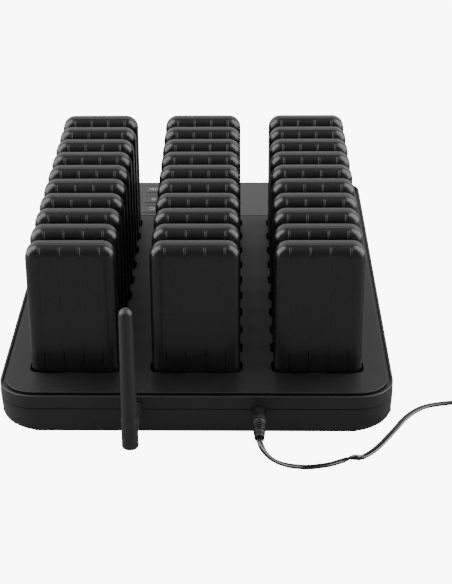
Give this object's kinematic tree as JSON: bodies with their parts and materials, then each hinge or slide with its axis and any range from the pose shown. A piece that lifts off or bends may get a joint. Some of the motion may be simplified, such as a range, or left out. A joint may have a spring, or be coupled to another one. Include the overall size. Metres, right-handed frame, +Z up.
{
  "type": "guest pager charging base",
  "caption": "Guest paging set: slab pagers standing in rows of pockets on a charging transmitter base, with a keypad panel, a folding rod antenna and a power lead.",
  "frame": {"origin": "on the surface the set stands on, under the middle of the set's box, with the antenna counted in and the free lead, its coil and its adapter left out", "axes": "+Z up; +Y towards the operator's keypad, so the antenna and power inlet are on the -Y wall; +X to the right when looking along +Y"},
  "size_m": [0.453, 0.4712, 0.1396],
  "materials": {
    "case": "satin black moulded ABS",
    "deck": "satin black with a fine moulded texture",
    "overlay": "satin grey printed film",
    "lens": "smoked and glossy",
    "pager": "black, between satin and gloss",
    "rubber": "matt black",
    "lead": "glossy black PVC",
    "jack": "matt black nylon",
    "board": "green solder resist",
    "foil": "dull foil pouch",
    "steel": "plated",
    "contact": "gold plated"
  },
  "bodies": {
    "base": {"lower_shell": "case", "upper_shell": "case", "deck": "deck", "control_panel": "overlay", "display_lens": "lens", "main_board": "board", "charge_board_left": "board", "charge_board_centre": "board", "charge_board_right": "board", "foot_rear_left": "rubber", "foot_rear_right": "rubber", "foot_front_left": "rubber", "foot_front_right": "rubber", "antenna_bush": "steel", "power_jack": "jack"},
    "pager_l01": {"pager_l01": "pager"},
    "pager_l02": {"pager_l02": "pager"},
    "pager_l03": {"pager_l03": "pager"},
    "pager_l04": {"pager_l04": "pager"},
    "pager_l05": {"pager_l05": "pager"},
    "pager_l06": {"pager_l06": "pager"},
    "pager_l07": {"pager_l07": "pager"},
    "pager_l08": {"pager_l08": "pager"},
    "pager_l09": {"pager_l09": "pager"},
    "pager_l10": {"pager_l10": "pager"},
    "pager_c01": {"pager_c01_back_shell": "pager", "pager_c01_face_shell": "pager", "pager_c01_board": "board", "pager_c01_battery": "foil", "pager_c01_vibration_motor": "steel", "pager_c01_contact_left": "contact", "pager_c01_contact_right": "contact"},
    "pager_c02": {"pager_c02": "pager"},
    "pager_c03": {"pager_c03": "pager"},
    "pager_c04": {"pager_c04": "pager"},
    "pager_c05": {"pager_c05": "pager"},
    "pager_c06": {"pager_c06": "pager"},
    "pager_c07": {"pager_c07": "pager"},
    "pager_c08": {"pager_c08": "pager"},
    "pager_c09": {"pager_c09": "pager"},
    "pager_c10": {"pager_c10": "pager"},
    "pager_r01": {"pager_r01": "pager"},
    "pager_r02": {"pager_r02": "pager"},
    "pager_r03": {"pager_r03": "pager"},
    "pager_r04": {"pager_r04": "pager"},
    "pager_r05": {"pager_r05": "pager"},
    "pager_r06": {"pager_r06": "pager"},
    "pager_r07": {"pager_r07": "pager"},
    "pager_r08": {"pager_r08": "pager"},
    "pager_r09": {"pager_r09": "pager"},
    "pager_r10": {"pager_r10": "pager"},
    "antenna_elbow": {"antenna_elbow": "rubber", "antenna_pin": "steel"},
    "antenna_rod": {"antenna_knuckle": "rubber", "antenna_sleeve": "rubber"},
    "power_lead": {"power_plug": "rubber", "lead_run": "lead", "lead_coil": "lead", "lead_tail": "lead", "adapter": "case"}
  },
  "joints": [
    {"name": "pager_l01_lift", "type": "slide", "parent": "base", "child": "pager_l01", "axis": [0, 0, 1], "range_m": [0, 0.125]},
    {"name": "pager_l02_lift", "type": "slide", "parent": "base", "child": "pager_l02", "axis": [0, 0, 1], "range_m": [0, 0.125]},
    {"name": "pager_l03_lift", "type": "slide", "parent": "base", "child": "pager_l03", "axis": [0, 0, 1], "range_m": [0, 0.125]},
    {"name": "pager_l04_lift", "type": "slide", "parent": "base", "child": "pager_l04", "axis": [0, 0, 1], "range_m": [0, 0.125]},
    {"name": "pager_l05_lift", "type": "slide", "parent": "base", "child": "pager_l05", "axis": [0, 0, 1], "range_m": [0, 0.125]},
    {"name": "pager_l06_lift", "type": "slide", "parent": "base", "child": "pager_l06", "axis": [0, 0, 1], "range_m": [0, 0.125]},
    {"name": "pager_l07_lift", "type": "slide", "parent": "base", "child": "pager_l07", "axis": [0, 0, 1], "range_m": [0, 0.125]},
    {"name": "pager_l08_lift", "type": "slide", "parent": "base", "child": "pager_l08", "axis": [0, 0, 1], "range_m": [0, 0.125]},
    {"name": "pager_l09_lift", "type": "slide", "parent": "base", "child": "pager_l09", "axis": [0, 0, 1], "range_m": [0, 0.125]},
    {"name": "pager_l10_lift", "type": "slide", "parent": "base", "child": "pager_l10", "axis": [0, 0, 1], "range_m": [0, 0.125]},
    {"name": "pager_c01_lift", "type": "slide", "parent": "base", "child": "pager_c01", "axis": [0, 0, 1], "range_m": [0, 0.125]},
    {"name": "pager_c02_lift", "type": "slide", "parent": "base", "child": "pager_c02", "axis": [0, 0, 1], "range_m": [0, 0.125]},
    {"name": "pager_c03_lift", "type": "slide", "parent": "base", "child": "pager_c03", "axis": [0, 0, 1], "range_m": [0, 0.125]},
    {"name": "pager_c04_lift", "type": "slide", "parent": "base", "child": "pager_c04", "axis": [0, 0, 1], "range_m": [0, 0.125]},
    {"name": "pager_c05_lift", "type": "slide", "parent": "base", "child": "pager_c05", "axis": [0, 0, 1], "range_m": [0, 0.125]},
    {"name": "pager_c06_lift", "type": "slide", "parent": "base", "child": "pager_c06", "axis": [0, 0, 1], "range_m": [0, 0.125]},
    {"name": "pager_c07_lift", "type": "slide", "parent": "base", "child": "pager_c07", "axis": [0, 0, 1], "range_m": [0, 0.125]},
    {"name": "pager_c08_lift", "type": "slide", "parent": "base", "child": "pager_c08", "axis": [0, 0, 1], "range_m": [0, 0.125]},
    {"name": "pager_c09_lift", "type": "slide", "parent": "base", "child": "pager_c09", "axis": [0, 0, 1], "range_m": [0, 0.125]},
    {"name": "pager_c10_lift", "type": "slide", "parent": "base", "child": "pager_c10", "axis": [0, 0, 1], "range_m": [0, 0.125]},
    {"name": "pager_r01_lift", "type": "slide", "parent": "base", "child": "pager_r01", "axis": [0, 0, 1], "range_m": [0, 0.125]},
    {"name": "pager_r02_lift", "type": "slide", "parent": "base", "child": "pager_r02", "axis": [0, 0, 1], "range_m": [0, 0.125]},
    {"name": "pager_r03_lift", "type": "slide", "parent": "base", "child": "pager_r03", "axis": [0, 0, 1], "range_m": [0, 0.125]},
    {"name": "pager_r04_lift", "type": "slide", "parent": "base", "child": "pager_r04", "axis": [0, 0, 1], "range_m": [0, 0.125]},
    {"name": "pager_r05_lift", "type": "slide", "parent": "base", "child": "pager_r05", "axis": [0, 0, 1], "range_m": [0, 0.125]},
    {"name": "pager_r06_lift", "type": "slide", "parent": "base", "child": "pager_r06", "axis": [0, 0, 1], "range_m": [0, 0.125]},
    {"name": "pager_r07_lift", "type": "slide", "parent": "base", "child": "pager_r07", "axis": [0, 0, 1], "range_m": [0, 0.125]},
    {"name": "pager_r08_lift", "type": "slide", "parent": "base", "child": "pager_r08", "axis": [0, 0, 1], "range_m": [0, 0.125]},
    {"name": "pager_r09_lift", "type": "slide", "parent": "base", "child": "pager_r09", "axis": [0, 0, 1], "range_m": [0, 0.125]},
    {"name": "pager_r10_lift", "type": "slide", "parent": "base", "child": "pager_r10", "axis": [0, 0, 1], "range_m": [0, 0.125]},
    {"name": "antenna_swivel", "type": "hinge", "parent": "base", "child": "antenna_elbow", "pos_m": [-0.0462, -0.1888, 0.0242], "axis": [0, 1, 0], "range_deg": [-90, 75]},
    {"name": "antenna_tilt", "type": "hinge", "parent": "antenna_elbow", "child": "antenna_rod", "pos_m": [-0.0462, -0.2245, 0.0242], "axis": [1, 0, 0], "range_deg": [0, 90]},
    {"name": "plug_pull", "type": "slide", "parent": "base", "child": "power_lead", "axis": [0, -1, 0], "range_m": [0, 0.012]}
  ]
}
